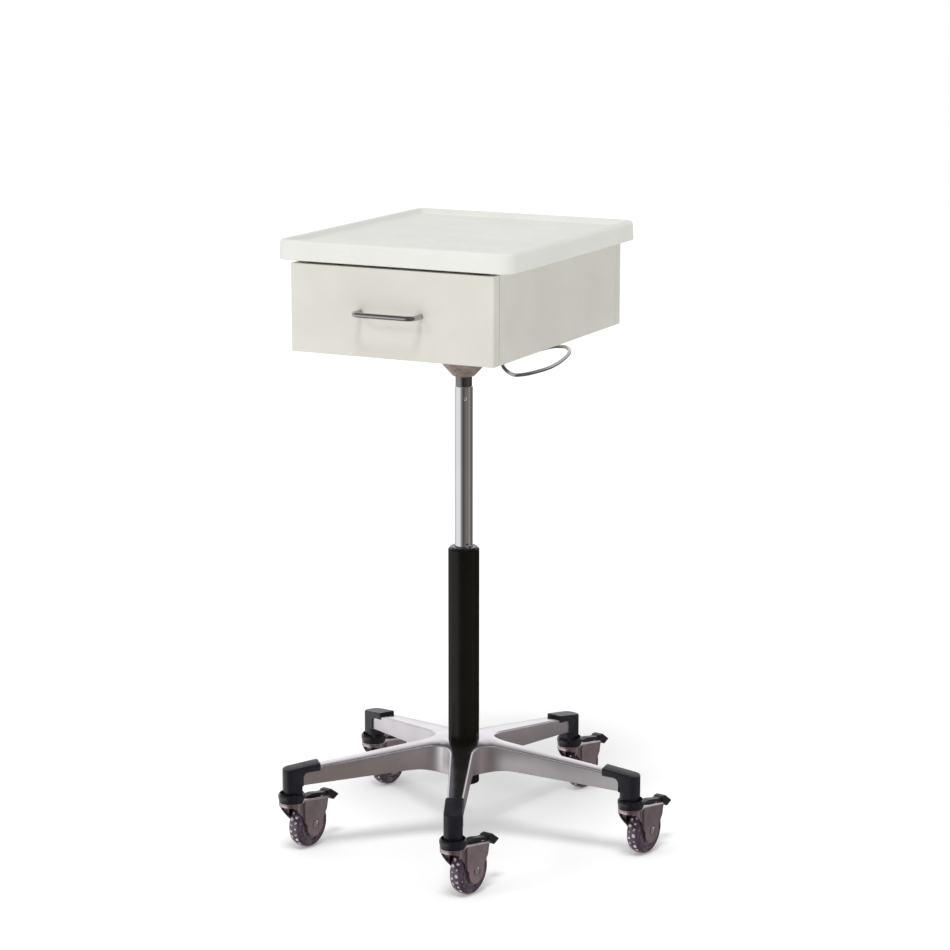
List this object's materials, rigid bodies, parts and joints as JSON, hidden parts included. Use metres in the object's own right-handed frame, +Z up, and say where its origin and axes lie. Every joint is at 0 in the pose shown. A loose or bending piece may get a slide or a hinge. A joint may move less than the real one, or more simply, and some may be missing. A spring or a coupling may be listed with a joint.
{
  "type": "medication cart",
  "caption": "Height-adjustable medication cart: a drawer cabinet under a lipped worktop, on a gas-lift column with a hand lever, a star base and braked swivel casters.",
  "frame": {"origin": "middle of the cart's footprint, on the floor under the casters; the column's axis stands 23 mm to -X and 52 mm to -Y of it", "axes": "+Z up, -Y the way the drawer opens, +X to the right of a person facing the drawer front"},
  "size_m": [0.5796, 0.6746, 1.0004],
  "materials": {
    "laminate": "off-white melamine laminate on board, satin",
    "worktop": "off-white moulded plastic with a fine pebbled texture",
    "cast_aluminium": "satin polished casting",
    "chrome": "bright chrome",
    "dark_chrome": "bright nickel chrome",
    "steel": "polished pressed steel",
    "zinc_steel": "zinc plated",
    "black_enamel": "gloss black",
    "black_plastic": "satin black moulding",
    "warm_grey": "satin warm grey",
    "tray_grey": "fine-textured moulding",
    "smoky_tyre": "smoky glossy polyurethane with pale flecks",
    "rim_grey": "dark grey moulding"
  },
  "bodies": {
    "base": {"base_spider": "cast_aluminium", "column_sleeve": "black_enamel", "guide_bush": "black_plastic", "thrust_bearing": "zinc_steel", "leg_cap_1": "black_plastic", "leg_cap_2": "black_plastic", "leg_cap_3": "black_plastic", "leg_cap_4": "black_plastic", "leg_cap_5": "black_plastic"},
    "piston": {"piston_rod": "steel", "rod_clip": "steel"},
    "upper": {"gas_cylinder": "chrome", "socket_cone": "warm_grey", "mount_plate": "zinc_steel", "release_bracket": "zinc_steel", "cabinet_side_left": "laminate", "cabinet_side_right": "laminate", "cabinet_bottom": "laminate", "cabinet_back": "laminate", "worktop": "worktop", "slide_rail_left": "zinc_steel", "slide_rail_right": "zinc_steel"},
    "drawer": {"drawer_front": "laminate", "drawer_tray": "tray_grey", "drawer_handle": "dark_chrome", "drawer_runner_left": "zinc_steel", "drawer_runner_right": "zinc_steel"},
    "lever": {"release_lever": "dark_chrome", "lever_pivot_pin": "zinc_steel"},
    "button": {"release_button": "zinc_steel"},
    "swivel_1": {"swivel_head_1": "black_plastic", "fork_1": "steel", "axle_rivet_1": "zinc_steel"},
    "wheel_1": {"wheel_core_1": "rim_grey", "tyre_1": "smoky_tyre"},
    "pedal_1": {"brake_pedal_1": "black_plastic"},
    "swivel_2": {"swivel_head_2": "black_plastic", "fork_2": "steel", "axle_rivet_2": "zinc_steel"},
    "wheel_2": {"wheel_core_2": "rim_grey", "tyre_2": "smoky_tyre"},
    "pedal_2": {"brake_pedal_2": "black_plastic"},
    "swivel_3": {"swivel_head_3": "black_plastic", "fork_3": "steel", "axle_rivet_3": "zinc_steel"},
    "wheel_3": {"wheel_core_3": "rim_grey", "tyre_3": "smoky_tyre"},
    "pedal_3": {"brake_pedal_3": "black_plastic"},
    "swivel_4": {"swivel_head_4": "black_plastic", "fork_4": "steel", "axle_rivet_4": "zinc_steel"},
    "wheel_4": {"wheel_core_4": "rim_grey", "tyre_4": "smoky_tyre"},
    "pedal_4": {"brake_pedal_4": "black_plastic"},
    "swivel_5": {"swivel_head_5": "black_plastic", "fork_5": "steel", "axle_rivet_5": "zinc_steel"},
    "wheel_5": {"wheel_core_5": "rim_grey", "tyre_5": "smoky_tyre"},
    "pedal_5": {"brake_pedal_5": "black_plastic"}
  },
  "joints": [
    {"name": "column_swivel", "type": "hinge", "parent": "base", "child": "piston", "pos_m": [-0.023, -0.052, 0.105], "axis": [0, 0, 1], "continuous": true},
    {"name": "column_lift", "type": "slide", "parent": "piston", "child": "upper", "axis": [0, 0, 1], "range_m": [-0.25, 0]},
    {"name": "drawer_slide", "type": "slide", "parent": "upper", "child": "drawer", "axis": [0, -1, 0], "range_m": [0, 0.3]},
    {"name": "lever_hinge", "type": "hinge", "parent": "upper", "child": "lever", "pos_m": [0.031, -0.052, 0.807], "axis": [0, -1, 0], "range_deg": [0, 4], "stiffness_Nm_per_rad": 2},
    {"name": "button_press", "type": "slide", "parent": "upper", "child": "button", "axis": [0, 0, 1], "range_m": [-0.0045, 0], "stiffness_N_per_m": 500},
    {"name": "caster_swivel_1", "type": "hinge", "parent": "base", "child": "swivel_1", "pos_m": [0.09007, -0.31454, 0.1], "axis": [0, 0, 1], "continuous": true},
    {"name": "wheel_spin_1", "type": "hinge", "parent": "swivel_1", "child": "wheel_1", "pos_m": [0.0964, -0.27454, 0.0386], "axis": [0.9877, -0.1564, 0], "continuous": true},
    {"name": "brake_1", "type": "hinge", "parent": "swivel_1", "child": "pedal_1", "pos_m": [0.09445, -0.28688, 0.084], "axis": [-0.9877, 0.1564, 0], "range_deg": [0, 6.5]},
    {"name": "caster_swivel_2", "type": "hinge", "parent": "base", "child": "swivel_2", "pos_m": [0.26163, -0.0256, 0.1], "axis": [0, 0, 1], "continuous": true},
    {"name": "wheel_spin_2", "type": "hinge", "parent": "swivel_2", "child": "wheel_2", "pos_m": [0.26796, 0.01441, 0.0386], "axis": [0.9877, -0.1564, 0], "continuous": true},
    {"name": "brake_2", "type": "hinge", "parent": "swivel_2", "child": "pedal_2", "pos_m": [0.26601, 0.00206, 0.084], "axis": [-0.9877, 0.1564, 0], "range_deg": [0, 6.5]},
    {"name": "caster_swivel_3", "type": "hinge", "parent": "base", "child": "swivel_3", "pos_m": [0.03984, 0.22686, 0.1], "axis": [0, 0, 1], "continuous": true},
    {"name": "wheel_spin_3", "type": "hinge", "parent": "swivel_3", "child": "wheel_3", "pos_m": [0.04618, 0.26686, 0.0386], "axis": [0.9877, -0.1564, 0], "continuous": true},
    {"name": "brake_3", "type": "hinge", "parent": "swivel_3", "child": "pedal_3", "pos_m": [0.04422, 0.25451, 0.084], "axis": [-0.9877, 0.1564, 0], "range_deg": [0, 6.5]},
    {"name": "caster_swivel_4", "type": "hinge", "parent": "base", "child": "swivel_4", "pos_m": [-0.26879, 0.09394, 0.1], "axis": [0, 0, 1], "continuous": true},
    {"name": "wheel_spin_4", "type": "hinge", "parent": "swivel_4", "child": "wheel_4", "pos_m": [-0.26245, 0.13394, 0.0386], "axis": [0.9877, -0.1564, 0], "continuous": true},
    {"name": "brake_4", "type": "hinge", "parent": "swivel_4", "child": "pedal_4", "pos_m": [-0.26441, 0.12159, 0.084], "axis": [-0.9877, 0.1564, 0], "range_deg": [0, 6.5]},
    {"name": "caster_swivel_5", "type": "hinge", "parent": "base", "child": "swivel_5", "pos_m": [-0.23775, -0.24066, 0.1], "axis": [0, 0, 1], "continuous": true},
    {"name": "wheel_spin_5", "type": "hinge", "parent": "swivel_5", "child": "wheel_5", "pos_m": [-0.23141, -0.20066, 0.0386], "axis": [0.9877, -0.1564, 0], "continuous": true},
    {"name": "brake_5", "type": "hinge", "parent": "swivel_5", "child": "pedal_5", "pos_m": [-0.23337, -0.21301, 0.084], "axis": [-0.9877, 0.1564, 0], "range_deg": [0, 6.5]}
  ],
  "couplings": [
    {"joint": "button_press", "follows": "lever_hinge", "m_per_rad": -0.06}
  ]
}
